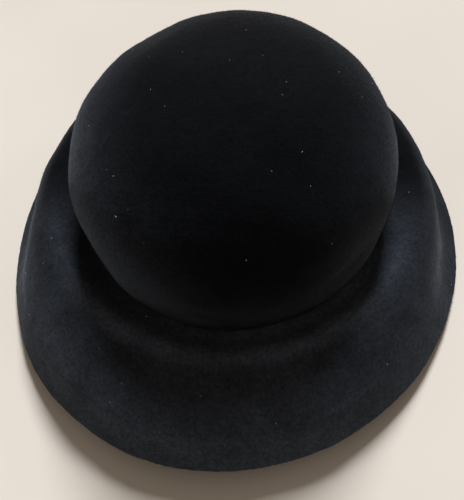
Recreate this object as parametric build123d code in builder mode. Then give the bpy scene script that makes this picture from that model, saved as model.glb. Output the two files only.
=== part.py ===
from build123d import *

import math
import os

# Felt hat with a round, bowler-like crown and a rolled, drooping brim.
#
# Two blocked felts carry the shape. The brim felt turns up at the head line into a collar, the crown felt
# drops over that collar, and the two are stitched together. A covered wire on top of the collar holds the
# head size. Inside are a satin lining (side, tip and a piped seam between them), a ribbon sweatband with
# a flat bow at the back, a folded size tab and a blank woven label.
#
# The front of the hat faces -Y and +Z is up. Azimuth 0 is the front and 90 is +X. Rings are circles about
# Z that are stretched into the head oval, so a radius below is the mean radius of its oval. Heights are
# first measured from the head line, where the crown meets the brim, and every piece is moved into the row
# frame at the end, with its origin in the middle of the plane that the brim rests on. Sizes are in
# millimetres.

# Head oval
HEAD_GIRTH = 550.0  # inside of the sweatband
OVAL_RATIO = 1.065  # length of the head oval over its width

# Felts
CROWN_FELT = 2.2
BRIM_FELT = 2.2
COLLAR_FELT = 1.8
COLLAR_HEIGHT = 16.0
COLLAR_CORNER = 0.9  # radius where the collar turns out into the brim
CUT_EDGE_ROUND = 0.7  # how far the cut edge of the brim is rounded outwards

# Crown, above the head line
CROWN_HEIGHT = 89.0
WIDEST_HEIGHT = 31.0  # where the crown wall is widest
CROWN_BULGE = 3.0  # how far the wall swells from the head line to its widest
FOOT_CHAMFER = 1.0  # inner corner of the crown's cut edge, clear of the collar's corner

# Brim at eight azimuths: front, front right, right, back right, back, back left, left, front left.
# Reach is measured outwards from the crown's foot and height up from the head line.
RIDGE_REACH = (14.5, 15.0, 19.0, 17.0, 14.0, 17.0, 21.0, 18.5)
RIDGE_HEIGHT = (5.5, 5.4, 2.6, 1.0, 1.0, 1.0, 3.2, 6.0)
RIDGE_WIDTH = 5.5  # from the ridge's crest to where the brim is falling
RIDGE_FALL = 2.2
GROOVE = (0.42, 0.12)  # groove at the crown's foot, as shares of the ridge's reach and height
SHOULDER_REACH = (34.0, 33.0, 33.5, 29.5, 26.0, 30.0, 34.5, 38.0)
SHOULDER_HEIGHT = (-0.5, -3.5, -9.0, -9.0, -8.5, -9.0, -9.0, -3.5)
WAIST_REACH = (53.0, 47.5, 38.0, 33.0, 31.5, 34.5, 38.0, 54.0)
WAIST_HEIGHT = (-12.5, -18.0, -26.0, -27.0, -26.0, -27.0, -26.0, -16.5)
EDGE_REACH = (69.0, 60.0, 53.0, 45.5, 45.0, 50.5, 51.5, 65.5)
EDGE_HEIGHT = (-31.0, -37.0, -43.5, -44.0, -44.0, -44.0, -43.5, -36.5)
EDGE_SLOPE = (-52.0, -57.0, -38.0, -34.0, -34.0, -34.0, -38.0, -56.0)  # degrees, where the brim ends
SECTIONS = 24  # meridian sections that the brim is lofted through
REST_FLAT = 0.5  # depth of the flat that the brim's own weight presses into its lowest edge

# Inside
GAP = 0.1  # between layers that lie against each other
SWEAT_THICK = 0.8
SWEAT_TOP = 27.0
SWEAT_BOTTOM = -1.0
TAB_SPACE = 0.5  # between sweatband and lining, where the size tab is tucked in
LINING_THICK = 0.4
LINING_BOTTOM = 3.0
THREAD = 0.5  # diameter of the sewing thread
LINING_EASE = 1.2  # how far the lining hangs off the crown felt
TIP_SEAM_SHARE = 0.6  # how far up the dome the side of the lining meets its tip
PIPING = 1.6  # diameter of the piping in that seam
WIRE = 1.6  # diameter of the covered head-size wire
JOINER_LENGTH = 14.0
JOINER_WALL = 0.35
COLLAR_STITCHES = 32
SWEAT_STITCHES = 84
STITCH_LENGTH = 4.0

# Bow, tab and label
RIBBON = 0.5
LOOP_LENGTH = 20.0
LOOP_DEPTH = 2.6
BOW_HEIGHT = 10.0
BOW_LEVEL = 13.0
BOW_STAND_OFF = 0.9  # from the sweatband to the back of a loop at its middle
BOW_GAP = 0.4  # between a loop's end and the knot
KNOT = (5.0, 4.2, 11.5)  # width, depth and height
TAB_WIDTH = 14.0
TAB_THICK = 0.3
TAB_LEVELS = (19.0, 34.0)
TAB_AZIMUTH = 128.0
LABEL = (40.0, 18.0)
LABEL_THICK = 0.35

# Radii that follow from the sizes above, working outwards through the layers
HEAD_RADIUS = HEAD_GIRTH / (2 * math.pi)
SWEAT_OUTER = HEAD_RADIUS + SWEAT_THICK
LINING_INNER = SWEAT_OUTER + TAB_SPACE
LINING_OUTER = LINING_INNER + LINING_THICK
COLLAR_INNER = LINING_OUTER + THREAD + GAP
COLLAR_OUTER = COLLAR_INNER + COLLAR_FELT
FOOT_INNER = COLLAR_OUTER + GAP
FOOT_OUTER = FOOT_INNER + CROWN_FELT
CROWN_RADIUS = FOOT_OUTER + CROWN_BULGE
TIP_SEAM_HEIGHT = WIDEST_HEIGHT + TIP_SEAM_SHARE * (CROWN_HEIGHT - WIDEST_HEIGHT)

# The oval stretches a circle across and along the head, and keeps its mean radius
ACROSS = 2 / (1 + OVAL_RATIO)
ALONG = ACROSS * OVAL_RATIO
OVAL = (ACROSS, ALONG, 1)


def oval_radius(mean_radius, azimuth):
    """Distance from the axis to an oval of that mean radius, at an azimuth in degrees."""
    a = math.radians(azimuth)
    return mean_radius * ACROSS * ALONG / math.hypot(ALONG * math.sin(a), ACROSS * math.cos(a))


def oval_place(mean_radius, turn, height):
    """Location on an oval: local X along the ring, local Y outwards from the hat, local Z up."""
    t = math.radians(turn)
    point = Vector(mean_radius * ACROSS * math.sin(t), -mean_radius * ALONG * math.cos(t), height)
    outwards = Vector(ALONG * math.sin(t), -ACROSS * math.cos(t), 0).normalized()
    return Plane(origin=point, x_dir=outwards.cross(Vector(0, 0, 1)), z_dir=(0, 0, 1)).location


def around(values, azimuth):
    """Smooth value at an azimuth, through equally spaced values all the way round."""
    n = len(values)
    total = sum(values) / n
    for k in range(1, n // 2 + 1):
        share = 1 if 2 * k == n else 2
        for i, value in enumerate(values):
            total += share * value / n * math.cos(k * math.radians(azimuth - 360 * i / n))
    return total


def meridian_plane(azimuth):
    """Upright plane through the axis: local X points outwards at the azimuth, local Y up."""
    a = math.radians(azimuth)
    outwards = (math.sin(a), -math.cos(a), 0)
    return Plane(origin=(0, 0, 0), x_dir=outwards, z_dir=(-math.cos(a), -math.sin(a), 0))


def dome_z(inset, radius):
    """Height at a mean radius of the dome that lies an inset inside the crown's outer face."""
    rise = CROWN_HEIGHT - WIDEST_HEIGHT - inset
    return WIDEST_HEIGHT + rise * math.sqrt(1 - (radius / (CROWN_RADIUS - inset)) ** 2)


def dome_radius(inset, height):
    """Mean radius of that dome at a height above its widest ring."""
    rise = CROWN_HEIGHT - WIDEST_HEIGHT - inset
    return (CROWN_RADIUS - inset) * math.sqrt(1 - ((height - WIDEST_HEIGHT) / rise) ** 2)


def dome_arc(inset):
    """Quarter ellipse from the widest ring to the top of the dome."""
    return EllipticalCenterArc(
        (0, WIDEST_HEIGHT), CROWN_RADIUS - inset, CROWN_HEIGHT - WIDEST_HEIGHT - inset, 0, arc_size=90
    )


def make_crown():
    """Blocked crown felt: a dome on a wall that draws in to its foot."""
    with BuildPart() as crown:
        with BuildSketch(Plane.XZ):
            with BuildLine():
                outer = dome_arc(0)
                outer_wall = TangentArc(outer @ 0, (FOOT_OUTER, GAP), tangent=(0, -1))
                inner = dome_arc(CROWN_FELT)
                inner_wall = TangentArc(inner @ 0, (FOOT_INNER, GAP + FOOT_CHAMFER), tangent=(0, -1))
                Line(outer @ 1, inner @ 1)
                Polyline(inner_wall @ 1, (FOOT_INNER + FOOT_CHAMFER, GAP), outer_wall @ 1)
            make_face()
        revolve(axis=Axis.Z)
        scale(by=OVAL)
    return crown.part


def brim_section(azimuth):
    """Closed outline of the brim felt at one azimuth, from the collar's top to the cut edge."""
    collar_in = oval_radius(COLLAR_INNER, azimuth)
    collar_out = oval_radius(COLLAR_OUTER, azimuth)
    seat = oval_radius(FOOT_OUTER, azimuth)
    corner = collar_out + COLLAR_CORNER

    def at(reach, height):
        return (seat + around(reach, azimuth), around(height, azimuth))

    ridge = at(RIDGE_REACH, RIDGE_HEIGHT)
    groove = (seat + (ridge[0] - seat) * GROOVE[0], ridge[1] * GROOVE[1])
    slope = math.radians(around(EDGE_SLOPE, azimuth))
    with BuildSketch(meridian_plane(azimuth)) as section:
        with BuildLine():
            Line((collar_out, COLLAR_HEIGHT), (collar_out, COLLAR_CORNER))
            CenterArc((corner, COLLAR_CORNER), COLLAR_CORNER, 180, arc_size=90)
            Line((corner, 0), (seat, 0))
            top = Spline(
                (seat, 0),
                groove,
                ridge,
                (ridge[0] + RIDGE_WIDTH, ridge[1] - RIDGE_FALL),
                at(SHOULDER_REACH, SHOULDER_HEIGHT),
                at(WAIST_REACH, WAIST_HEIGHT),
                at(EDGE_REACH, EDGE_HEIGHT),
                tangents=[(1, 0), (math.cos(slope), math.sin(slope))],
            )
            under = []
            steps = 14
            for i in range(steps + 1):
                along = (top % (i / steps)).normalized()
                under.append(top @ (i / steps) + Vector(along.Y, -along.X) * BRIM_FELT)
            cut_middle = (top @ 1 + under[-1]) / 2 + (top % 1).normalized() * CUT_EDGE_ROUND
            ThreePointArc(top @ 1, cut_middle, under[-1])
            Spline(*reversed(under))
            Line(under[0], (corner, -BRIM_FELT))
            EllipticalCenterArc(
                (corner, COLLAR_CORNER), corner - collar_in, COLLAR_CORNER + BRIM_FELT, 180, arc_size=90
            )
            Polyline(
                (collar_in, COLLAR_CORNER), (collar_in, COLLAR_HEIGHT), (collar_out, COLLAR_HEIGHT)
            )
        make_face()
    return section.sketch.face()


def make_brim():
    """Blocked brim felt with its collar, cut flat where it rests."""
    faces = [brim_section(360 * i / SECTIONS) for i in range(SECTIONS)]
    with BuildPart() as brim:
        loft([*faces, faces[0]])
        lowest = brim.part.bounding_box().min.Z
        split(bisect_by=Plane.XY.offset(lowest + REST_FLAT), keep=Keep.TOP)
    return brim.part


def make_ring(inner, outer, bottom, top):
    """Plain oval band between two radii and two heights."""
    with BuildPart() as ring:
        with BuildSketch(Plane.XZ):
            with Locations(((inner + outer) / 2, (bottom + top) / 2)):
                Rectangle(outer - inner, top - bottom)
        revolve(axis=Axis.Z)
        scale(by=OVAL)
    return ring.part


def make_cord_ring(radius, height, diameter):
    """Oval ring of round section."""
    with BuildPart() as ring:
        with BuildSketch(Plane.XZ):
            with Locations((radius, height)):
                Circle(diameter / 2)
        revolve(axis=Axis.Z)
        scale(by=OVAL)
    return ring.part


def make_wire_joiner(radius, height):
    """Crimped tube over the wire's two ends, at the back."""
    inner = WIRE / 2 + GAP / 2
    turn = math.degrees(JOINER_LENGTH / radius)
    with BuildPart() as joiner:
        with BuildSketch(meridian_plane(180 - turn / 2)):
            with Locations((radius, height)):
                Circle(inner + JOINER_WALL)
                Circle(inner, mode=Mode.SUBTRACT)
        revolve(axis=Axis.Z, revolution_arc=turn)
        scale(by=OVAL)
    return joiner.part


def make_lining():
    """Whole lining: a dome with a wall that runs down between collar and sweatband."""
    inset = CROWN_FELT + LINING_EASE
    wall_top = COLLAR_HEIGHT + WIRE + 1
    with BuildPart() as lining:
        with BuildSketch(Plane.XZ):
            with BuildLine():
                outer = dome_arc(inset)
                inner = dome_arc(inset + LINING_THICK)
                Line(outer @ 1, inner @ 1)
                Polyline(
                    outer @ 0,
                    (LINING_OUTER, wall_top),
                    (LINING_OUTER, LINING_BOTTOM),
                    (LINING_INNER, LINING_BOTTOM),
                    (LINING_INNER, wall_top),
                    inner @ 0,
                )
            make_face()
        revolve(axis=Axis.Z)
        scale(by=OVAL)
    return lining.part


def piping_place():
    """Mean radius and height of the piping, tucked against the inside of the lining at the tip seam."""
    inset = CROWN_FELT + LINING_EASE + LINING_THICK
    radius = dome_radius(inset, TIP_SEAM_HEIGHT)
    across = radius / (CROWN_RADIUS - inset) ** 2
    up = (TIP_SEAM_HEIGHT - WIDEST_HEIGHT) / (CROWN_HEIGHT - WIDEST_HEIGHT - inset) ** 2
    step = (PIPING / 2 + GAP) / math.hypot(across, up)
    return radius - across * step, TIP_SEAM_HEIGHT - up * step


def make_stitch(length):
    """One stitch lying along local X: a thread with rounded ends."""
    with BuildPart() as stitch:
        with BuildSketch(Plane.XY):
            with BuildLine():
                Line((-length / 2, 0), (length / 2, 0))
                TangentArc((length / 2, 0), (length / 2 - THREAD / 2, THREAD / 2), tangent=(0, 1))
                Line((length / 2 - THREAD / 2, THREAD / 2), (THREAD / 2 - length / 2, THREAD / 2))
                TangentArc((THREAD / 2 - length / 2, THREAD / 2), (-length / 2, 0), tangent=(-1, 0))
            make_face()
        revolve(axis=Axis.X)
    return stitch.part


def stitch_ring(radius, height, count, lean):
    """Stitches spaced round an oval, each leaning by an angle from level."""
    one = make_stitch(STITCH_LENGTH)
    places = [oval_place(radius, 360 * (i + 0.5) / count, height) for i in range(count)]
    return Compound(children=[one.moved(place * Location((0, 0, 0), (0, lean, 0))) for place in places])


def make_bow():
    """Two flat ribbon loops side by side on the back of the sweatband, and the knot between them."""
    loops = []
    radius = HEAD_RADIUS - LOOP_DEPTH / 2 - BOW_STAND_OFF
    half_turn = math.degrees(math.asin((LOOP_LENGTH / 2 + KNOT[0] / 2 + BOW_GAP) / (radius * ACROSS)))
    for turn in (180 - half_turn, 180 + half_turn):
        with BuildPart() as loop:
            with BuildSketch():
                SlotOverall(LOOP_LENGTH, LOOP_DEPTH)
                SlotOverall(LOOP_LENGTH - 2 * RIBBON, LOOP_DEPTH - 2 * RIBBON, mode=Mode.SUBTRACT)
            extrude(amount=BOW_HEIGHT / 2, both=True)
        loops.append(loop.part.moved(oval_place(radius, turn, BOW_LEVEL)))
    with BuildPart() as knot:
        Box(*KNOT)
        fillet(knot.edges().filter_by(Axis.Z), 1.2)
        fillet(knot.faces().filter_by(Axis.Z).edges(), 0.8)
    knot_place = oval_place(HEAD_RADIUS - KNOT[1] / 2 - GAP, 180, BOW_LEVEL)
    return Compound(children=loops), knot.part.moved(knot_place)


def make_tab():
    """Folded ribbon tab, tucked between sweatband and lining with its fold showing above the band."""
    radius = SWEAT_OUTER + TAB_SPACE / 2
    turn = math.degrees(TAB_WIDTH / radius)
    with BuildPart() as tab:
        with BuildSketch(meridian_plane(TAB_AZIMUTH)):
            with Locations((radius, sum(TAB_LEVELS) / 2)):
                RectangleRounded(TAB_THICK, TAB_LEVELS[1] - TAB_LEVELS[0], TAB_THICK / 2 - 0.02)
        revolve(axis=Axis.Z, revolution_arc=turn)
        scale(by=OVAL)
    return tab.part


def make_label():
    """Blank woven label that lies against the inside of the lining's tip, and its four corner tacks."""
    inset = CROWN_FELT + LINING_EASE + LINING_THICK + GAP
    with BuildPart() as label:
        with BuildSketch(Plane.XZ):
            with BuildLine():
                outer = dome_arc(inset)
                inner = dome_arc(inset + LABEL_THICK)
                Line(outer @ 0, inner @ 0)
                Line(outer @ 1, inner @ 1)
            make_face()
        revolve(axis=Axis.Z)
        scale(by=OVAL)
        with BuildSketch():
            RectangleRounded(*LABEL, 1.0)
        extrude(amount=CROWN_HEIGHT, mode=Mode.INTERSECT)
    tacks = []
    one = make_stitch(STITCH_LENGTH)
    x, y = LABEL[0] / 2 - 2.5, LABEL[1] / 2 - 1.5
    radius = math.hypot(x / ACROSS, y / ALONG)
    height = dome_z(inset + LABEL_THICK + THREAD / 2 + GAP, radius)
    for sx, sy in ((1, 1), (1, -1), (-1, 1), (-1, -1)):
        tilt = -sx * 6.0
        tacks.append(one.moved(Location((sx * x, sy * y, height - 0.15), (0, -tilt, 0))))
    return label.part, Compound(children=tacks)


def build():
    """Every piece by name, in the row frame."""
    crown = make_crown()
    brim = make_brim()
    lining = make_lining()
    wire_radius = (COLLAR_INNER + COLLAR_OUTER) / 2
    wire_height = COLLAR_HEIGHT + WIRE / 2 + JOINER_WALL + GAP
    wire = make_cord_ring(wire_radius, wire_height, WIRE)
    bow_loops, bow_knot = make_bow()
    label, tacks = make_label()
    pieces = {
        "felt_crown": crown,
        "felt_brim": brim,
        "head_size_wire": wire,
        "wire_joiner": make_wire_joiner(wire_radius, wire_height),
        "collar_stitches": stitch_ring(COLLAR_INNER - THREAD / 2 - GAP / 2, 9, COLLAR_STITCHES, 0),
        "lining_side": split(lining, bisect_by=Plane.XY.offset(TIP_SEAM_HEIGHT - GAP), keep=Keep.BOTTOM),
        "lining_tip": split(lining, bisect_by=Plane.XY.offset(TIP_SEAM_HEIGHT + GAP), keep=Keep.TOP),
        "lining_piping": make_cord_ring(*piping_place(), PIPING),
        "sweatband": make_ring(HEAD_RADIUS, SWEAT_OUTER, SWEAT_BOTTOM, SWEAT_TOP),
        "sweatband_stitches": stitch_ring(HEAD_RADIUS - THREAD / 2 - GAP / 2, 1.5, SWEAT_STITCHES, 35),
        "sweatband_bow": bow_loops,
        "sweatband_bow_knot": bow_knot,
        "size_tab": make_tab(),
        "blank_label": label,
        "label_tacks": tacks,
    }
    base = brim.bounding_box()
    drop = Location((-base.center().X, -base.center().Y, -base.min.Z))
    return {name: piece.moved(drop) for name, piece in pieces.items()}, drop


def main():
    os.makedirs("parts", exist_ok=True)
    pieces, drop = build()
    for name, piece in pieces.items():
        piece.label = name
        export_step(piece, f"parts/{name}.step")
    print("drop into the row frame", drop.position)


main()
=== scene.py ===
import math

import bpy
import numpy as np
from mathutils import Matrix, Vector


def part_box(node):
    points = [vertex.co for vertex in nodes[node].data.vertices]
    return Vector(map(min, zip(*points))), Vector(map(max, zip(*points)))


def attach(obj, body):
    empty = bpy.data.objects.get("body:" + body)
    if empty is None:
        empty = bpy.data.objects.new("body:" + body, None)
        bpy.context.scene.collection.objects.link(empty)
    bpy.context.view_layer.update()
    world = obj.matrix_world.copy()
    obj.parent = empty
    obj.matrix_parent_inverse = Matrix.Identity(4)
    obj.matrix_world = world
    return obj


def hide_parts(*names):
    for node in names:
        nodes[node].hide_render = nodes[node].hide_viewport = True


# Looks for the felt hat: velour felts, satin lining, ribbon sweatband, threads, label, floor, light
# and camera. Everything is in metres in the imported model's frame, and the sizes below are in
# millimetres. The head line is the level where the crown meets the brim, and its middle is the
# centre of the head oval. Azimuth 0 is the front (-Y) and 90 is +X.

MM = 0.001

# Camera, from the angle at which the hat is seen from above its front
CAMERA_LENS = 49.2
CAMERA_TARGET = (3.3, -63.5, 31.6)  # millimetres from the middle of the head line
CAMERA_DISTANCE = 363.4
CAMERA_ELEVATION = 60.75
CAMERA_YAW = 6.52
CAMERA_ROLL = -3.4

# Light: high daylight from behind the hat, and a dim warm room
SUN_TOWARDS = (0.03, 0.85, 0.76)
SUN_IRRADIANCE = 3.62
SUN_SPREAD = 16  # degrees
SUN_COLOUR = (1.0, 0.990, 0.975)
ROOM_COLOUR = (1.0, 0.82, 0.66, 1)
ROOM_STRENGTH = 0.20
FLOOR_SIDE = 3.0  # metres
FLOOR_CELLS = 40

# Felt
FELT_VOXEL = 0.9
SMOOTH_ROUNDS = 6
NAP_LUMPS = ((5.0, 0.025), (13.0, 0.09), (42.0, 0.35))  # size and depth of the unevenness
NAP_FADE = (0.4, 5.0)  # the unevenness fades in between these heights over the floor

# Hand dents: azimuth, height above the head line, width across and depth, in degrees and millimetres
DENTS = ((-142.0, 66.0, 42.0, 3.4), (48.0, 33.0, 34.0, 2.2), (20.0, 74.0, 50.0, 1.2))
DENT_FOOT = (17.0, 32.0)  # a dent fades in between these heights, clear of the collar
CROWN_REACH = 94.0  # mean radius of the crown where it is widest
CROWN_WIDEST = 31.0  # height of that ring above the head line
CROWN_DOME = 58.0  # height of the dome above that ring
CROWN_STRETCH = 1.05  # a dent's place is this much further out along the hat's length
DENT_AIM = 25.0  # dents push towards this height on the crown's axis
CROWN_CORE = 20.0  # the crown's outer face looks away from this height on its axis

# Colour of the bare near-black pile, and a lighter colour that stands for painted light, and how far between
# them each place is: painted light on the shaded front of the brim and on the crown's sides and back, and
# painted shade on the sunlit sides of the brim and on the crown's front wall. Rows go round from the front,
# over the front right, to the front left, like the ridge's reach outwards from the crown's foot.
DEEP_PILE = (0.0026, 0.0032, 0.0046)
PAINTED_LIGHT_PILE = (0.089, 0.110, 0.148)
CROWN_TOP_TONE = 0.005
CROWN_TONE_HEIGHTS = (34.0, 84.0)  # the wall's tone below, the top's tone above
# the crown wall's painted light on its sunlit sides and back, and painted shade on its front
CROWN_WALL_TONE = (0.0, 0.08, 0.20, 0.22, 0.28, 0.28, 0.48, 0.34)
RIDGE_REACH = (14.5, 15.0, 19.0, 17.0, 14.0, 17.0, 21.0, 18.5)
# the brim's painted light at its shaded front, and painted shade on its sunlit sides
BRIM_TONE = (
    (0.52, 0.58, 0.06, 0.08, 0.08, 0.08, 0.03, 0.24),  # groove
    (0.44, 0.50, 0.04, 0.08, 0.08, 0.08, 0.02, 0.46),  # ridge
    (0.28, 0.27, 0.13, 0.08, 0.08, 0.08, 0.14, 0.24),  # between ridge and edge
    (0.48, 0.42, 0.16, 0.08, 0.08, 0.08, 0.21, 0.46),  # edge
)
CROWN_FOOT = 8.2  # from the sweatband's inside out to the crown's foot
GROOVE_REACH = 3.0  # the groove's tone, from the crown's foot out
RIDGE_FALL = (1.0, 9.0)  # the ridge's tone fades out between these distances beyond its crest
EDGE_TONE_REACH = (30.0, 58.0)  # the tone turns into the edge's between these reaches
PILE_TONE_SPREAD = 0.03
BRUSHED_PATCHES = ((17.0, 0.05), (34.0, 0.08))  # size in millimetres and how far the tone swings

FIBRES = {"crown_velour": 60000, "brim_velour": 90000}
FIBRE_LENGTH = (0.5, 1.5)
FIBRE_WIDTH = 0.08
FIBRE_RISE = (0.25, 0.8)  # how much a fibre stands up, beside how far it is combed over and strays
FIBRE_COMB = 0.6
FIBRE_STRAY = 0.35
LEAST_RISE = 0.12
COLLAR_REACH = 8.0  # no fibres within this of the sweatband's inside
FLOOR_CLEARANCE = 1.5  # no fibres rooted lower than this
LINT = 56
LINT_LENGTH = (0.45, 1.5)
LINT_WIDTH = 0.17

# Inside, in millimetres
SWEAT_THICK = 0.8
LINING_THICK = 0.4
GATHER_PITCH = 6.5  # pleats of the lining where it is drawn into the tip seam
GATHER_DEPTH = 0.8
STITCHES = 84
STITCH_LENGTH = 4.0
STITCH_LEAN = 35.0
THREAD = 0.5
LOOP_GAP = 2.6  # how far a bow loop stands open
RIBBON = 0.45

scene = bpy.context.scene
camera = bpy.data.objects.new("camera", bpy.data.cameras.new("camera"))
scene.collection.objects.link(camera)
scene.camera = camera

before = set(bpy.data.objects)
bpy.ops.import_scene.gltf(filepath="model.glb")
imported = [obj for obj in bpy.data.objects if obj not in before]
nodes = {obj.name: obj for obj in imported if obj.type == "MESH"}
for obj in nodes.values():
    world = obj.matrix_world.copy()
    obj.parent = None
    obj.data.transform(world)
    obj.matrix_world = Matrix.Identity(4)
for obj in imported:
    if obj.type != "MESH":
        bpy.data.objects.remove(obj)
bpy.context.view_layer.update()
crown_low, crown_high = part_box("felt_crown")
HEAD = Vector(((crown_low.x + crown_high.x) / 2, (crown_low.y + crown_high.y) / 2, crown_low.z))
band_low, band_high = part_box("sweatband")
OVAL_RATIO = (band_high.y - band_low.y) / (band_high.x - band_low.x)
ACROSS = 2 / (1 + OVAL_RATIO)
ALONG = OVAL_RATIO * ACROSS
BAND_RADIUS = (band_high.x - band_low.x) / 2 / ACROSS - SWEAT_THICK * MM  # mean, inside the ribbon


# ---------------------------------------------------------------- materials


class Graph:
    """A material's node graph, with one short call for each kind of node."""

    def __init__(self, name):
        self.material = bpy.data.materials.new(name)
        self.material.use_nodes = True
        self.tree = self.material.node_tree
        self.tree.nodes.clear()
        output = self.node("ShaderNodeOutputMaterial")
        self.shader = self.node("ShaderNodeBsdfPrincipled")
        self.link(self.shader.outputs["BSDF"], output.inputs["Surface"])
        self.place = self.node("ShaderNodeTexCoord").outputs["Object"]

    def node(self, kind, **settings):
        made = self.tree.nodes.new(kind)
        for key, value in settings.items():
            setattr(made, key, value)
        return made

    def link(self, output, target):
        self.tree.links.new(output, target)

    def put(self, target, value):
        """Links a socket or sets a plain value."""
        if isinstance(value, bpy.types.NodeSocket):
            self.link(value, target)
        else:
            target.default_value = value

    def set(self, **values):
        for key, value in values.items():
            self.put(self.shader.inputs[key.replace("_", " ")], value)

    def noise(self, size_mm, detail=3.0, roughness=0.55, distortion=0.0):
        made = self.node("ShaderNodeTexNoise")
        self.link(self.place, made.inputs["Vector"])
        made.inputs["Scale"].default_value = 1 / (size_mm * MM)
        made.inputs["Detail"].default_value = detail
        made.inputs["Roughness"].default_value = roughness
        made.inputs["Distortion"].default_value = distortion
        return made.outputs["Fac"]

    def math(self, operation, a, b=0.0):
        made = self.node("ShaderNodeMath", operation=operation)
        self.put(made.inputs[0], a)
        self.put(made.inputs[1], b)
        return made.outputs[0]

    def spread(self, value, low, high, to_low=0.0, to_high=1.0):
        made = self.node("ShaderNodeMapRange")
        self.put(made.inputs["Value"], value)
        ends = {"From Min": low, "From Max": high, "To Min": to_low, "To Max": to_high}
        for socket, number in ends.items():
            made.inputs[socket].default_value = number
        return made.outputs["Result"]

    def blend(self, share, a, b):
        made = self.node("ShaderNodeMix", data_type="RGBA")
        self.put(made.inputs["Factor"], share)
        self.put(made.inputs["A"], a if isinstance(a, bpy.types.NodeSocket) else (*a, 1))
        self.put(made.inputs["B"], b if isinstance(b, bpy.types.NodeSocket) else (*b, 1))
        return made.outputs["Result"]

    def bump(self, height, depth_mm, strength=1.0, below=None):
        made = self.node("ShaderNodeBump")
        made.inputs["Strength"].default_value = strength
        made.inputs["Distance"].default_value = depth_mm * MM
        self.put(made.inputs["Height"], height)
        if below:
            self.link(below, made.inputs["Normal"])
        return made.outputs["Normal"]

    def ribs(self, coordinate, pitch_mm):
        """Rounded ribs across a coordinate in metres, from 0 to 1."""
        turn = self.math("MULTIPLY", coordinate, 2 * math.pi / (pitch_mm * MM))
        return self.spread(self.math("SINE", turn), -1, 1)


def velour(name, deep, painted_light, sheen):
    """Long-pile black fur felt, from deep black to a lighter painted-light colour as the mesh's tone goes
    from 0 to 1.
    """
    g = Graph(name)
    lay = g.noise(26, detail=2.5, roughness=0.5, distortion=0.8)
    clumps = g.noise(5.5, detail=3.0, roughness=0.62, distortion=0.5)
    tufts = g.noise(1.9, detail=2.0, roughness=0.6)
    pile = g.noise(0.85, detail=4.0, roughness=0.7)
    tone = g.node("ShaderNodeAttribute", attribute_name="tone").outputs["Fac"]
    ground = g.blend(tone, deep, painted_light)
    mottle = g.math("ADD", g.math("MULTIPLY", lay, 0.4), g.math("MULTIPLY", clumps, 0.6))
    broad = g.spread(mottle, 0.33, 0.67, 0.78, 1.22)
    fine = g.spread(g.math("ADD", tufts, pile), 0.7, 1.3, 0.62, 1.42)
    value = g.node("ShaderNodeHueSaturation")
    g.put(value.inputs["Color"], ground)
    g.put(value.inputs["Value"], g.math("MULTIPLY", broad, fine))
    g.set(Base_Color=value.outputs["Color"], Roughness=g.spread(clumps, 0.3, 0.7, 0.82, 0.95))
    g.set(Specular_IOR_Level=0.05, Sheen_Weight=sheen, Sheen_Roughness=0.38, Sheen_Tint=(0.78, 0.87, 1.0, 1))
    lumps = g.bump(clumps, 0.35, 0.55)
    tufted = g.bump(tufts, 0.3, 0.5, lumps)
    g.set(Normal=g.bump(pile, 0.22, 0.6, tufted))
    return g.material


def ribbon(name, dark, light, around, along, pitch_mm=0.95):
    """Grosgrain: round cross ribs, with a fine warp over them. around and along name UV directions."""
    g = Graph(name)
    uv = g.node("ShaderNodeUVMap", uv_map="cloth").outputs["UV"]
    split = g.node("ShaderNodeSeparateXYZ")
    g.link(uv, split.inputs[0])
    across, length = split.outputs[along], split.outputs[around]
    rib = g.ribs(length, pitch_mm)
    warp = g.ribs(across, 0.32)
    # rib crests lighter and troughs darker in colour: painted shade, mixed with a random mottle
    shade = g.math("ADD", g.math("MULTIPLY", rib, 0.7), g.math("MULTIPLY", g.noise(7), 0.5))
    g.set(Base_Color=g.blend(g.spread(shade, 0.2, 1.0), dark, light))
    g.set(Roughness=g.spread(rib, 0, 1, 0.72, 0.5))
    g.set(Specular_IOR_Level=0.3, Sheen_Weight=0.25, Sheen_Roughness=0.35, Sheen_Tint=(0.8, 0.85, 1, 1))
    ribbed = g.bump(rib, 0.16, 0.8)
    g.set(Normal=g.bump(warp, 0.03, 0.5, ribbed))
    return g.material


def satin(name, dark, light):
    """Lining satin: smooth, glossy along its floats, with fine weave lines and soft creases."""
    g = Graph(name)
    uv = g.node("ShaderNodeUVMap", uv_map="cloth").outputs["UV"]
    split = g.node("ShaderNodeSeparateXYZ")
    g.link(uv, split.inputs[0])
    floats = g.ribs(split.outputs["X"], 0.35)
    picks = g.ribs(split.outputs["Y"], 0.9)
    cloud = g.noise(18, detail=2, distortion=0.6)
    g.set(Base_Color=g.blend(g.spread(cloud, 0.3, 0.7), dark, light))
    g.set(Roughness=g.spread(cloud, 0.3, 0.7, 0.3, 0.42))
    g.set(Specular_IOR_Level=0.55, Sheen_Weight=0.1, Anisotropic=0.5)
    creases = g.bump(g.noise(9, detail=2, distortion=1.2), 0.5, 0.35)
    woven = g.bump(floats, 0.02, 0.4, creases)
    g.set(Normal=g.bump(picks, 0.015, 0.3, woven))
    return g.material


def thread(name, dark, light):
    """Twisted thread: slanting plies with a dull shine and some loose fuzz in its colour."""
    g = Graph(name)
    split = g.node("ShaderNodeSeparateXYZ")
    g.link(g.place, split.inputs[0])
    diagonal = g.math("ADD", split.outputs["X"], g.math("ADD", split.outputs["Y"], split.outputs["Z"]))
    ply = g.ribs(diagonal, 0.55)
    mixed = g.math("ADD", g.math("MULTIPLY", ply, 0.6), g.math("MULTIPLY", g.noise(0.4), 0.5))
    # ply crests lighter and the grooves between plies darker in colour: painted shade, with random fuzz
    g.set(Base_Color=g.blend(g.spread(mixed, 0.2, 0.9), dark, light))
    g.set(Roughness=g.spread(mixed, 0, 1, 0.6, 0.42))
    g.set(Specular_IOR_Level=0.35, Sheen_Weight=0.2, Normal=g.bump(ply, 0.09, 0.9))
    return g.material


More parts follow.
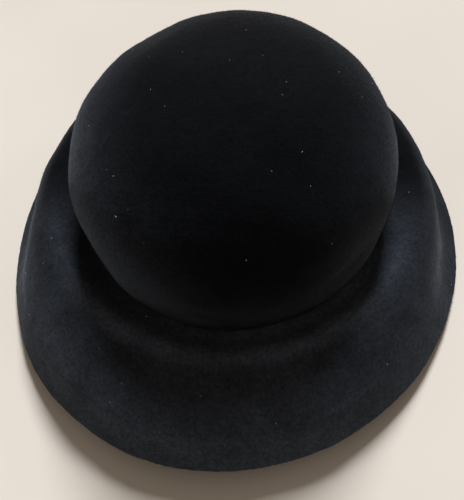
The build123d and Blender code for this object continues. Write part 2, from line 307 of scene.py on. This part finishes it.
def wrapped_wire(name):
    """Cotton wound round the head-size wire."""
    g = Graph(name)
    split = g.node("ShaderNodeSeparateXYZ")
    g.link(g.place, split.inputs[0])
    diagonal = g.math("ADD", split.outputs["X"], g.math("ADD", split.outputs["Y"], split.outputs["Z"]))
    winding = g.ribs(diagonal, 0.4)
    # winding crests lighter and the grooves between turns darker in colour: painted shade
    g.set(Base_Color=g.blend(winding, (0.01, 0.01, 0.012), (0.035, 0.035, 0.04)), Roughness=0.75)
    g.set(Sheen_Weight=0.2, Normal=g.bump(winding, 0.06, 0.8))
    return g.material


def crimped_steel(name):
    """Dull steel of the wire's joiner, scuffed along its length."""
    g = Graph(name)
    scuffs = g.noise(0.6, detail=5, distortion=2)
    metal = g.blend(g.spread(scuffs, 0.35, 0.7), (0.42, 0.42, 0.43), (0.6, 0.6, 0.61))
    g.set(Base_Color=metal, Metallic=1.0)
    g.set(Roughness=g.spread(scuffs, 0.3, 0.7, 0.3, 0.55), Normal=g.bump(scuffs, 0.02, 0.4))
    return g.material


def woven_label(name, dark, light, pitch_mm):
    """Plain woven tape, warp and weft, slightly yellowed and handled."""
    g = Graph(name)
    split = g.node("ShaderNodeSeparateXYZ")
    uv = g.node("ShaderNodeUVMap", uv_map="cloth").outputs["UV"]
    g.link(uv, split.inputs[0])
    warp, weft = (g.ribs(split.outputs[way], pitch_mm) for way in ("X", "Y"))
    weave = g.math("MULTIPLY", warp, weft)
    stain = g.noise(6, detail=3, distortion=0.7)
    tone = g.math("ADD", g.math("MULTIPLY", weave, 0.4), g.math("MULTIPLY", stain, 0.6))
    # thread crossings lighter and gaps between threads darker: painted shade, mixed with the stains
    g.set(Base_Color=g.blend(g.spread(tone, 0.2, 0.75), dark, light))
    g.set(Roughness=g.spread(stain, 0.3, 0.7, 0.7, 0.85))
    g.set(Sheen_Weight=0.15, Specular_IOR_Level=0.3, Normal=g.bump(weave, 0.05, 0.7))
    return g.material


def sheet_cotton(name):
    """Pale plain floor."""
    g = Graph(name)
    cloud = g.noise(220, detail=2)
    cotton = g.blend(g.spread(cloud, 0.3, 0.7), (0.80, 0.765, 0.71), (0.86, 0.83, 0.78))
    g.set(Base_Color=cotton, Roughness=0.9)
    g.set(Specular_IOR_Level=0.15, Normal=g.bump(g.noise(0.9), 0.05, 0.3))
    return g.material


# ---------------------------------------------------------------- mesh helpers


def mesh_object(name, points, faces, material, corner_uv=None):
    """Object from points in metres, with an optional UV for each corner of each face."""
    mesh = bpy.data.meshes.new(name)
    mesh.from_pydata(np.asarray(points, float).tolist(), [], [tuple(int(i) for i in f) for f in faces])
    mesh.update()
    if corner_uv is not None:
        layer = mesh.uv_layers.new(name="cloth")
        layer.data.foreach_set("uv", np.asarray(corner_uv, np.float32).ravel())
    mesh.shade_smooth()
    made = bpy.data.objects.new(name, mesh)
    made.data.materials.append(material)
    scene.collection.objects.link(made)
    return made


def slab(name, front, back, size, material, closed=False):
    """Thin cloth between two matching grids of points. size is its length and width, for the weave."""
    columns, rows = front.shape[:2]
    points = np.concatenate([front.reshape(-1, 3), back.reshape(-1, 3)])
    spans = columns if closed else columns - 1
    faces, uv = [], []

    def add(corners):
        """One face, from (side, column, row) corners."""
        faces.append([side * columns * rows + (i % columns) * rows + j for side, i, j in corners])
        uv.extend((size[0] * i / spans, size[1] * j / (rows - 1)) for side, i, j in corners)

    for i in range(spans):
        for j in range(rows - 1):
            add([(0, i, j), (0, i + 1, j), (0, i + 1, j + 1), (0, i, j + 1)])
            add([(1, i, j), (1, i, j + 1), (1, i + 1, j + 1), (1, i + 1, j)])
        add([(0, i, 0), (1, i, 0), (1, i + 1, 0), (0, i + 1, 0)])
        add([(0, i, rows - 1), (0, i + 1, rows - 1), (1, i + 1, rows - 1), (1, i, rows - 1)])
    if not closed:
        for j in range(rows - 1):
            add([(0, 0, j), (0, 0, j + 1), (1, 0, j + 1), (1, 0, j)])
            add([(0, spans, j), (1, spans, j), (1, spans, j + 1), (0, spans, j + 1)])
    return mesh_object(name, points, faces, material, uv)


def tube(points, radius, sides):
    """Round thread along points: its vertices and faces, with closed ends."""
    points = np.asarray(points, float)
    run = np.gradient(points, axis=0)
    run /= np.linalg.norm(run, axis=1)[:, None]
    side = np.cross(run, (0.0, 0.0, 1.0))
    side /= np.maximum(np.linalg.norm(side, axis=1)[:, None], 1e-9)
    other = np.cross(run, side)
    angles = np.arange(sides) * 2 * math.pi / sides
    cos, sin = np.cos(angles)[None, :, None], np.sin(angles)[None, :, None]
    ring = cos * side[:, None] + sin * other[:, None]
    vertices = (points[:, None] + ring * np.asarray(radius).reshape(-1, 1, 1)).reshape(-1, 3)
    faces = []
    for i in range(len(points) - 1):
        for k in range(sides):
            n = (k + 1) % sides
            faces.append((i * sides + k, i * sides + n, (i + 1) * sides + n, (i + 1) * sides + k))
    faces.append(tuple(range(sides))[::-1])
    faces.append(tuple((len(points) - 1) * sides + k for k in range(sides)))
    return vertices, faces


def join_parts(parts):
    """One list of vertices and faces from several."""
    vertices, faces, start = [], [], 0
    for part_vertices, part_faces in parts:
        vertices.append(part_vertices)
        faces.extend(tuple(i + start for i in f) for f in part_faces)
        start += len(part_vertices)
    return np.concatenate(vertices), faces


def on_oval(radius, azimuth, height):
    """Points at a mean radius, an azimuth in degrees and a height. Arrays broadcast."""
    radius, azimuth, height = np.broadcast_arrays(radius, np.radians(azimuth), height)
    x = HEAD.x + radius * ACROSS * np.sin(azimuth)
    y = HEAD.y - radius * ALONG * np.cos(azimuth)
    return np.stack([x, y, height], axis=-1)


def dented(grid):
    """The same dents, for a grid of points."""
    return dent(grid.reshape(-1, 3)).reshape(grid.shape)


def apply_modifiers(made):
    """Replaces an object's mesh with what its modifiers give."""
    graph = bpy.context.evaluated_depsgraph_get()
    made_mesh = bpy.data.meshes.new_from_object(made.evaluated_get(graph))
    made.modifiers.clear()
    old = made.data
    made.data = made_mesh
    bpy.data.meshes.remove(old)
    made.data.shade_smooth()
    return made


def get_points(mesh):
    points = np.empty(len(mesh.vertices) * 3, np.float32)
    mesh.vertices.foreach_get("co", points)
    return points.reshape(-1, 3).astype(float)


def get_normals(mesh):
    normals = np.empty(len(mesh.vertices) * 3, np.float32)
    mesh.vertices.foreach_get("normal", normals)
    return normals.reshape(-1, 3).astype(float)


def set_points(mesh, points):
    mesh.vertices.foreach_set("co", np.asarray(points, np.float32).ravel())
    mesh.update()


def soft_step(value, low, high):
    t = np.clip((value - low) / (high - low), 0, 1)
    return t * t * (3 - 2 * t)


def waves(points, size_mm, seed):
    """Smooth unevenness between about -1 and 1: plane waves of one size, in seeded directions."""
    rng = np.random.default_rng(seed)
    total = np.zeros(len(points))
    count = 14
    for _ in range(count):
        direction = rng.normal(size=3)
        direction /= np.linalg.norm(direction)
        k = 2 * math.pi / (size_mm * MM * rng.uniform(0.75, 1.45))
        total += np.sin(points @ direction * k + rng.uniform(0, 2 * math.pi))
    return total / math.sqrt(count)


def dent(points):
    """The same small hand dents for the crown and all that lies inside it."""
    local = (points - np.array(HEAD)) / MM
    middle = np.array((0.0, 0.0, DENT_AIM))
    for azimuth, height, width, depth in DENTS:
        a = math.radians(azimuth)
        climb = max(0.0, (height - CROWN_WIDEST) / CROWN_DOME)
        reach = CROWN_REACH * math.sqrt(max(0.0, 1 - climb**2))
        centre = np.array((reach * math.sin(a), -reach * CROWN_STRETCH * math.cos(a), height))
        inwards = (middle - centre) / np.linalg.norm(middle - centre)
        away = np.linalg.norm(local - centre, axis=1)
        push = depth * np.exp(-((away / (width * 0.6)) ** 2)) * soft_step(local[:, 2], *DENT_FOOT)
        points = points + push[:, None] * inwards * MM
    return points


# ---------------------------------------------------------------- felts


def make_felt(name, node, material, seed, tone, warp=None):
    """Fine, slightly uneven felt in place of a CAD felt."""
    made = mesh_copy(name, node, material)
    remesh = made.modifiers.new("fine", "REMESH")
    remesh.mode = "VOXEL"
    remesh.voxel_size = FELT_VOXEL * MM
    smooth = made.modifiers.new("smooth", "SMOOTH")
    smooth.factor = 0.5
    smooth.iterations = SMOOTH_ROUNDS
    apply_modifiers(made)
    points, normals = get_points(made.data), get_normals(made.data)
    if warp:
        points = warp(points)
    fade = soft_step(points[:, 2] / MM, *NAP_FADE)
    for i, (size, depth) in enumerate(NAP_LUMPS):
        points += normals * (waves(points, size, seed + i) * depth * MM * fade)[:, None]
    set_points(made.data, points)
    store_tone(made.data, tone(points))
    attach(made, "root")
    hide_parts(node)
    return made


def mesh_copy(name, node, material):
    made = bpy.data.objects.new(name, nodes[node].data.copy())
    made.data.name = name
    made.data.materials.clear()
    made.data.materials.append(material)
    scene.collection.objects.link(made)
    return made


def store_tone(mesh, tone):
    """Keeps how grey the pile looks, from 0 to 1, for the velour's colour."""
    stored = mesh.attributes.new("tone", "FLOAT", "POINT")
    stored.data.foreach_set("value", np.clip(tone, 0, 1).astype(np.float32))


def ring_blend(values, azimuth):
    """Smooth value at azimuths in radians, through equally spaced values all the way round."""
    n = len(values)
    spectrum = np.fft.rfft(values) / n
    spectrum[1:] *= 2
    if n % 2 == 0:
        spectrum[-1] /= 2
    return sum((c * np.exp(1j * k * azimuth)).real for k, c in enumerate(spectrum))


def on_head(points):
    """Mean radius, azimuth in radians and height of points from the head line, in millimetres."""
    local = (points - np.array(HEAD)) / MM
    x, y = local[:, 0] / ACROSS, -local[:, 1] / ALONG
    return np.hypot(x, y), np.arctan2(x, y), local[:, 2]


def brushed(points):
    """Patches where the nap was last brushed another way, as a factor on the tone."""
    return 1 + sum(swing * waves(points, size, 90 + i) for i, (size, swing) in enumerate(BRUSHED_PATCHES))


def crown_tone(points):
    """Crown pile: near black on top, greyer down the walls as painted light on the sides and back, and dark
    on the front wall as painted shade.
    """
    _, azimuth, height = on_head(points)
    wall = ring_blend(CROWN_WALL_TONE, azimuth)
    low, high = CROWN_TONE_HEIGHTS
    tone = CROWN_TOP_TONE + (wall - CROWN_TOP_TONE) * soft_step(-height, -high, -low)
    return tone * brushed(points)


def brim_tone(points):
    """Brim pile: painted light, greyer at the shaded front and towards its edge, and painted shade, darker
    on the sunlit sides.
    """
    radius, azimuth, _ = on_head(points)
    out = radius - BAND_RADIUS / MM - CROWN_FOOT
    inner, ridge, middle, edge = (ring_blend(values, azimuth) for values in BRIM_TONE)
    crest = ring_blend(RIDGE_REACH, azimuth)
    near, far = RIDGE_FALL
    tone = inner + (ridge - inner) * soft_step(out, GROOVE_REACH, crest)
    tone = tone + (middle - ridge) * soft_step(out, crest + near, crest + far)
    return (tone + (edge - middle) * soft_step(out, *EDGE_TONE_REACH)) * brushed(points)


crown_nap = velour("crown_velour_nap", DEEP_PILE, PAINTED_LIGHT_PILE, 0.08)
brim_nap = velour("brim_velour_nap", DEEP_PILE, PAINTED_LIGHT_PILE, 0.10)
crown_felt = make_felt("crown_velour", "felt_crown", crown_nap, 11, crown_tone, dent)
brim_felt = make_felt("brim_velour", "felt_brim", brim_nap, 23, brim_tone)


def surface_points(made, count, rng, keep):
    """Points and normals spread evenly over the part of a mesh whose vertices keep() accepts."""
    points, normals = get_points(made.data), get_normals(made.data)
    mesh = made.data
    mesh.calc_loop_triangles()
    triangles = np.empty(len(mesh.loop_triangles) * 3, np.int32)
    mesh.loop_triangles.foreach_get("vertices", triangles)
    triangles = triangles.reshape(-1, 3)
    triangles = triangles[keep(points, normals)[triangles].all(axis=1)]
    a, b, c = (points[triangles[:, k]] for k in range(3))
    area = np.linalg.norm(np.cross(b - a, c - a), axis=1)
    pick = rng.choice(len(triangles), count, p=area / area.sum())
    u, v = rng.random(count), rng.random(count)
    flip = u + v > 1
    u[flip], v[flip] = 1 - u[flip], 1 - v[flip]
    place = a[pick] + u[:, None] * (b - a)[pick] + v[:, None] * (c - a)[pick]
    normal = normals[triangles[pick, 0]]
    return place, normal / np.linalg.norm(normal, axis=1)[:, None]


def outside(points, normals):
    """The crown's outer face."""
    away = points - np.array(HEAD) - np.array((0, 0, CROWN_CORE * MM))
    return (away * normals).sum(axis=1) > 0


def off_collar(points, _):
    """The brim, without its collar and the ledge under the crown's foot."""
    local = points - np.array(HEAD)
    radius = np.hypot(local[:, 0] / ACROSS, local[:, 1] / ALONG)
    return (radius > BAND_RADIUS + COLLAR_REACH * MM) & (points[:, 2] > FLOOR_CLEARANCE * MM)


def add_pile(made, material, seed, keep, tone):
    """Short loose fibres that stand out of the nap, leaning the way it is brushed."""
    rng = np.random.default_rng(seed)
    count = FIBRES[made.name]
    root, normal = surface_points(made, count, rng, keep)
    local = root - np.array(HEAD)
    combed = np.stack([local[:, 1], -local[:, 0], -0.06 - 0.4 * np.abs(local[:, 2])], axis=1)
    combed /= np.linalg.norm(combed, axis=1)[:, None]
    lean = normal * rng.uniform(*FIBRE_RISE, (count, 1)) + combed * FIBRE_COMB
    lean = lean + rng.normal(size=(count, 3)) * FIBRE_STRAY
    lean /= np.linalg.norm(lean, axis=1)[:, None]
    outwards = (lean * normal).sum(axis=1)[:, None]
    lean = lean + normal * np.maximum(LEAST_RISE - outwards, 0)
    side = np.cross(lean, rng.normal(size=(count, 3)))
    side /= np.linalg.norm(side, axis=1)[:, None]
    half = side * FIBRE_WIDTH * MM / 2
    tip = root + lean * rng.uniform(*FIBRE_LENGTH, (count, 1)) * MM
    tip[:, 2] = np.maximum(tip[:, 2], 0.05 * MM)
    points = np.stack([root - half, root + half, tip], axis=1).reshape(-1, 3)
    fibres = mesh_object(made.name + "_pile", points, np.arange(count * 3).reshape(-1, 3), material)
    # the fibres keep the felt's tone, with its painted light and shade, plus a random spread
    store_tone(fibres.data, tone(points) + np.repeat(rng.normal(size=count) * PILE_TONE_SPREAD, 3))
    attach(fibres, "root")


def add_lint(parts, material, seed):
    """A few specks of pale lint caught in the nap."""
    rng = np.random.default_rng(seed)
    specks = []
    for made, keep, count in parts:

        def facing_up(points, normals, keep=keep):
            return keep(points, normals) & (normals[:, 2] > 0.5)

        place, normal = surface_points(made, count, rng, facing_up)
        for p, n in zip(place, normal):
            run = np.cross(n, rng.normal(size=3))
            run /= np.linalg.norm(run)
            bend = np.cross(n, run) * rng.uniform(-0.4, 0.4)
            length = rng.uniform(*LINT_LENGTH) * MM
            t = np.linspace(-0.5, 0.5, 6)[:, None]
            line = p + n * 0.15 * MM + run * t * length + bend * (t**2) * length * 2
            taper = LINT_WIDTH * MM / 2 * np.array((0.4, 0.9, 1.0, 1.0, 0.8, 0.3))
            specks.append(tube(line, taper, 5))
    vertices, faces = join_parts(specks)
    lint = mesh_object("lint_specks", vertices, faces, material)
    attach(lint, "root")


pile = velour("velour_pile_tips", DEEP_PILE, PAINTED_LIGHT_PILE, 0.05)
add_pile(crown_felt, pile, 31, outside, crown_tone)
add_pile(brim_felt, pile, 37, off_collar, brim_tone)
lint_look = thread("pale_lint", (0.45, 0.44, 0.42), (0.85, 0.84, 0.81))
add_lint(((crown_felt, outside, LINT // 2), (brim_felt, off_collar, LINT // 2)), lint_look, 5)


# ---------------------------------------------------------------- inside


def stands_for(made, node):
    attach(made, "root")
    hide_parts(node)
    return made


def first_hit(node, start, direction):
    """Where a ray meets a CAD node, or None."""
    hit, place, _, _ = nodes[node].ray_cast(Vector(start), Vector(direction))
    return place if hit else None


def add_sweatband(material):
    """Ribbon on edge round the inside: flat, eased a little in and out between its stitches."""
    turn = np.arange(0, 360, 1.0)[:, None]
    rise = np.linspace(0, 1, 15)[None, :]
    height = band_low.z + (band_high.z - band_low.z) * rise
    pucker = 0.12 * np.sin(np.radians(turn) * STITCHES) * (1 - rise) ** 3
    pull = pucker + 0.25 * np.sin(np.radians(turn) * 9 + 1) * rise**2
    inner = on_oval(BAND_RADIUS - 0.1 * MM + pull * MM, turn, height)
    outer = on_oval(BAND_RADIUS + (SWEAT_THICK - 0.25) * MM + pull * MM, turn, height)
    length = 2 * math.pi * BAND_RADIUS
    width = band_high.z - band_low.z
    made = slab("sweatband_ribbon", inner, outer, (length, width), material, closed=True)
    stands_for(made, "sweatband")


def lining_radius(node, height):
    """Mean radius of the inside of a lining node at a height."""
    place = first_hit(node, (HEAD.x, HEAD.y, height), (0, -1, 0))
    return (HEAD.y - place.y) / ALONG


def add_lining_side(material):
    """Side of the lining, drawn into small pleats at the tip seam and easing out downwards."""
    low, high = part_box("lining_side")
    turn = np.arange(0, 360, 0.5)[:, None]
    heights = np.linspace(low.z + 0.1 * MM, high.z - 0.1 * MM, 34)
    radius = np.array([lining_radius("lining_side", h) for h in heights])[None, :]
    rise = ((heights - low.z) / (high.z - low.z))[None, :]
    pleats = round(2 * math.pi * BAND_RADIUS / (GATHER_PITCH * MM))
    fold = 0.5 + 0.5 * np.sin(np.radians(turn) * pleats + 1.3 * np.sin(np.radians(turn) * 7))
    slack = 0.5 + 0.5 * np.sin(np.radians(turn) * 11 + 2.1 + 2.5 * rise)
    inwards = GATHER_DEPTH * fold * soft_step(rise, 0.55, 1.0)
    inwards = inwards + 0.9 * slack * soft_step(rise, 0.3, 0.6) * (1 - rise)
    inner = dented(on_oval(radius - inwards * MM, turn, heights[None, :]))
    outer = dented(on_oval(radius + (LINING_THICK * 0.7 - inwards) * MM, turn, heights[None, :]))
    run = np.linalg.norm(np.diff(np.stack([radius[0], heights], axis=1), axis=0), axis=1).sum()
    length = 2 * math.pi * float(radius.max())
    made = slab("lining_side_satin", inner, outer, (length, float(run)), material, closed=True)
    stands_for(made, "lining_side")


def add_lining_tip(material):
    """Tip of the lining: an oval of satin that sags a little off the felt."""
    low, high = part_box("lining_tip")
    rim = (high.x - low.x) / 2 / ACROSS - LINING_THICK * MM - 0.5 * MM
    turn = np.arange(0, 360, 2.0)[:, None]
    radii = np.linspace(0.4 * MM, rim, 34)
    starts = [(HEAD.x, HEAD.y - r * ALONG, HEAD.z) for r in radii]
    under = np.array([first_hit("lining_tip", start, (0, 0, 1)).z for start in starts])
    share = (radii / rim)[None, :]
    ripple = 0.5 + 0.5 * np.sin(np.radians(turn) * 38 + 1.1 * np.sin(np.radians(turn) * 5))
    hang = 0.35 * (0.5 + 0.5 * np.sin(np.radians(turn) * 3 + 4 * share)) * share
    sag = 0.6 * ripple * soft_step(share, 0.72, 1.0) + hang
    inner = dented(on_oval(radii[None, :], turn, under[None, :] - sag * MM))
    outer = inner + np.array((0, 0, LINING_THICK * 0.7 * MM))
    made = slab("lining_tip_satin", inner, outer, (2 * math.pi * rim, rim), material, closed=True)
    stands_for(made, "lining_tip")


def add_piping(material):
    """Satin wound on the bias over a cord, slightly puckered by its stitches."""
    low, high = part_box("lining_piping")
    thick = (high.z - low.z) / 2
    radius = (high.x - low.x) / 2 / ACROSS - thick
    turn = np.arange(0, 360, 0.5)[:, None]
    round_it = np.arange(12)[None, :] * 30.0
    pucker = 1 - 0.07 * (0.5 + 0.5 * np.sin(np.radians(turn) * 150 + np.radians(round_it)))
    reach = radius + thick * pucker * np.cos(np.radians(round_it))
    height = (low.z + high.z) / 2 + thick * pucker * np.sin(np.radians(round_it))
    ring = dented(on_oval(reach, turn, height))
    columns, rows = ring.shape[:2]
    faces, uv = [], []
    for i in range(columns):
        for j in range(rows):
            corners = ((i, j), (i + 1, j), (i + 1, j + 1), (i, j + 1))
            faces.append([(a % columns) * rows + b % rows for a, b in corners])
            uv.extend((a * 0.5 * math.pi / 180 * radius, b * thick * math.pi / 6) for a, b in corners)
    made = mesh_object("piping_cord", ring.reshape(-1, 3), faces, material, uv)
    stands_for(made, "lining_piping")


def add_band_stitches(material):
    """Slanting overcast stitches along the sweatband's lower edge, their ends pulled in."""
    low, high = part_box("sweatband_stitches")
    level = (low.z + high.z) / 2
    rng = np.random.default_rng(71)
    threads = []
    t = np.linspace(-0.5, 0.5, 7)
    for i in range(STITCHES):
        lean = math.radians(STITCH_LEAN + rng.normal() * 4)
        length = STITCH_LENGTH * MM * rng.uniform(0.92, 1.05)
        turn = 360 * (i + 0.5) / STITCHES + np.degrees(t * length * math.cos(lean) / BAND_RADIUS)
        depth = BAND_RADIUS - (0.4 - 0.75 * (2 * t) ** 4) * MM
        line = on_oval(depth, turn, level + t * length * math.sin(lean))
        threads.append(tube(line, THREAD * MM / 2, 7))
    made = mesh_object("overcast_threads", *join_parts(threads), material)
    stands_for(made, "sweatband_stitches")


def add_bow(material):
    """Flat bow at the back of the band: two ribbon loops pinched under a small knot."""
    low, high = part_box("sweatband_bow")
    knot_low, knot_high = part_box("sweatband_bow_knot")
    reach = (high.x - low.x) / 2
    level = (low.z + high.z) / 2
    half_width = (high.z - low.z) / 2
    start = (knot_high.x - knot_low.x) / 2 * 0.4
    t = np.arange(64)[:, None] * 2 * math.pi / 64
    w = np.linspace(-1, 1, 11)[None, :]
    parts = []
    for way in (-1, 1):
        along = start + (reach - start) * (0.5 - 0.5 * np.cos(t))
        share = (along - start) / (reach - start)
        open_by = LOOP_GAP * MM * np.sin(np.pi * np.clip(share, 0, 1) ** 0.75) ** 0.8 * 0.5
        stand = (LOOP_GAP * 0.5 + 0.75) * MM + open_by * np.sign(np.sin(t)) * np.abs(np.sin(t)) ** 0.5
        pinch = 1 - 0.22 * (1 - soft_step(share, 0.0, 0.35))
        turn = 180 + way * np.degrees(along / BAND_RADIUS)
        height = level + w * half_width * pinch * 0.98
        skin = on_oval(BAND_RADIUS - stand, turn, height)
        inside = RIBBON * MM * np.where(np.sin(t) > 0, -0.6, 0.6)
        core = on_oval(BAND_RADIUS - stand + inside, turn, height)
        parts.append((skin, core))
    for side, (skin, core) in zip(("right", "left"), parts):
        made = slab("bow_loop_" + side, skin, core, (2 * reach, 2 * half_width), material, closed=True)
        stands_for(made, "sweatband_bow")


def add_knot(material):
    """Ribbon wrapped round the middle of the bow, drawn in at its waist."""
    low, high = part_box("sweatband_bow_knot")
    middle = (low + high) / 2
    half = (high - low) / 2
    t = np.arange(48)[:, None] * 2 * math.pi / 48
    w = np.linspace(-1, 1, 17)[None, :]
    swell = 0.93 + 0.07 * np.cos(w * math.pi) - 0.05 * (np.abs(w) > 0.9)

    def wrap(shrink):
        x = half.x * shrink * swell * np.sign(np.cos(t)) * np.abs(np.cos(t)) ** 0.6
        y = half.y * shrink * swell * np.sign(np.sin(t)) * np.abs(np.sin(t)) ** 0.6
        z = middle.z + w * half.z * 0.97
        return np.stack(np.broadcast_arrays(middle.x + x, middle.y + y, z), axis=-1)

    size = (4 * (half.x + half.y), 2 * half.z)
    made = slab("bow_knot", wrap(1.0), wrap(0.6), size, material, closed=True)
    stands_for(made, "sweatband_bow_knot")


def add_label(material):
    """Blank woven label, its ends turned under, lying on the lining's tip."""
    low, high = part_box("blank_label")
    x = np.linspace(low.x, high.x, 41)[:, None]
    y = np.linspace(low.y, high.y, 19)[None, :]
    inset = 0.02 * MM
    margin = 1.2 * MM  # the level near the rim is taken this far in, clear of the rounded corners
    level = np.empty((x.size, y.size))
    for i in range(x.size):
        for j in range(y.size):
            at_x = min(max(x[i, 0], low.x + margin), high.x - margin)
            at_y = min(max(y[0, j], low.y + margin), high.y - margin)
            level[i, j] = first_hit("blank_label", (at_x, at_y, HEAD.z), (0, 0, 1)).z
    hem = 0.22 * MM * (1 - soft_step(np.minimum(x - low.x, high.x - x), 2.4 * MM, 3.0 * MM))
    wave = 0.12 * MM * np.sin(x / (7 * MM)) * np.sin(y / (5 * MM) + 1)
    front = np.stack(np.broadcast_arrays(x, y, level - inset - hem + wave), axis=-1)
    back = front + np.array((0, 0, 0.3 * MM))
    size = (high.x - low.x, high.y - low.y)
    made = slab("blank_label_cloth", dented(front), dented(back), size, material)
    stands_for(made, "blank_label")


def add_tab(material):
    """Folded tape tab that shows above the sweatband, its fold rounded."""
    low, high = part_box("size_tab")
    local = get_points(nodes["size_tab"].data) - np.array(HEAD)
    azimuth = np.degrees(np.arctan2(local[:, 0] / ACROSS, -local[:, 1] / ALONG))
    radius = float(np.hypot(local[:, 0] / ACROSS, local[:, 1] / ALONG).mean())
    turn = np.linspace(azimuth.min(), azimuth.max(), 25)[:, None]
    rise = np.linspace(0, 1, 25)[None, :]
    height = low.z + (high.z - low.z) * rise
    plump = 0.35 * soft_step(rise, 0.6, 0.93) * (1 - soft_step(rise, 0.95, 1.0))
    curl = 0.5 * soft_step(rise, 0.55, 1.0)
    inner = on_oval(radius - (0.15 + plump + curl) * MM, turn, height)
    outer = on_oval(radius + (0.15 + plump * 0.3 - curl) * MM, turn, height)
    width = math.radians(float(azimuth.max() - azimuth.min())) * radius
    made = slab("folded_tab", inner, outer, (width, high.z - low.z), material)
    stands_for(made, "size_tab")


grosgrain = ribbon("black_grosgrain_ribs", (0.004, 0.004, 0.005), (0.026, 0.027, 0.031), "X", "Y")
lining_satin = satin("black_lining_satin", (0.008, 0.008, 0.010), (0.022, 0.022, 0.027))
black_thread = thread("black_twisted_thread", (0.006, 0.006, 0.008), (0.03, 0.03, 0.034))
add_sweatband(grosgrain)
add_lining_side(lining_satin)
add_lining_tip(lining_satin)
add_piping(satin("piping_bias_satin", (0.007, 0.007, 0.009), (0.024, 0.024, 0.029)))
add_band_stitches(black_thread)
add_bow(grosgrain)
add_knot(grosgrain)
add_label(woven_label("pale_label_weave", (0.38, 0.36, 0.31), (0.66, 0.63, 0.56), 0.55))
add_tab(woven_label("pale_tape_weave", (0.5, 0.49, 0.45), (0.78, 0.77, 0.72), 0.7))


# ---------------------------------------------------------------- carried-over nodes

plain_looks = {
    "head_size_wire": wrapped_wire("cotton_wrapped_wire"),
    "wire_joiner": crimped_steel("crimped_steel"),
    "collar_stitches": black_thread,
    "label_tacks": black_thread,
}
for name, look in plain_looks.items():
    nodes[name].data.materials.clear()
    nodes[name].data.materials.append(look)


# ---------------------------------------------------------------- floor, light and camera


def add_floor():
    """Plain table, a square grid at the level that the brim rests on."""
    grid = np.linspace(-FLOOR_SIDE / 2, FLOOR_SIDE / 2, FLOOR_CELLS + 1)
    points = [(x, y, 0.0) for y in grid for x in grid]
    row = FLOOR_CELLS + 1
    starts = [j * row + i for j in range(FLOOR_CELLS) for i in range(FLOOR_CELLS)]
    faces = [(k, k + 1, k + row + 1, k + row) for k in starts]
    floor = mesh_object("floor", points, faces, sheet_cotton("pale_floor"))


def add_sun(towards, irradiance, spread, colour):
    """Broad, soft daylight, from a sun as wide as a window seen from the table."""
    light = bpy.data.lights.new("daylight", "SUN")
    light.energy = irradiance
    light.angle = math.radians(spread)
    light.color = colour
    made = bpy.data.objects.new("daylight", light)
    made.rotation_mode = "QUATERNION"
    made.rotation_quaternion = (-Vector(towards)).to_track_quat("-Z", "Y")
    scene.collection.objects.link(made)


def set_camera():
    """Aims the camera from the numbers at the top."""
    data = camera.data
    data.sensor_width = 36
    data.lens = CAMERA_LENS
    data.clip_start = 0.01
    data.clip_end = 20
    yaw, lift, roll = (math.radians(a) for a in (CAMERA_YAW, CAMERA_ELEVATION, CAMERA_ROLL))
    back = Vector((math.sin(yaw) * math.cos(lift), -math.cos(yaw) * math.cos(lift), math.sin(lift)))
    camera.location = HEAD + Vector(CAMERA_TARGET) * MM + back * CAMERA_DISTANCE * MM
    camera.rotation_mode = "QUATERNION"
    level = (-back).to_track_quat("-Z", "Y")
    camera.rotation_quaternion = level @ Matrix.Rotation(roll, 3, "Z").to_quaternion()


add_floor()
scene.view_settings.view_transform = "Standard"
world = bpy.data.worlds.new("soft_room")
world.use_nodes = True
background = world.node_tree.nodes["Background"]
background.inputs["Color"].default_value = ROOM_COLOUR
background.inputs["Strength"].default_value = ROOM_STRENGTH
scene.world = world
add_sun(SUN_TOWARDS, SUN_IRRADIANCE, SUN_SPREAD, SUN_COLOUR)
set_camera()
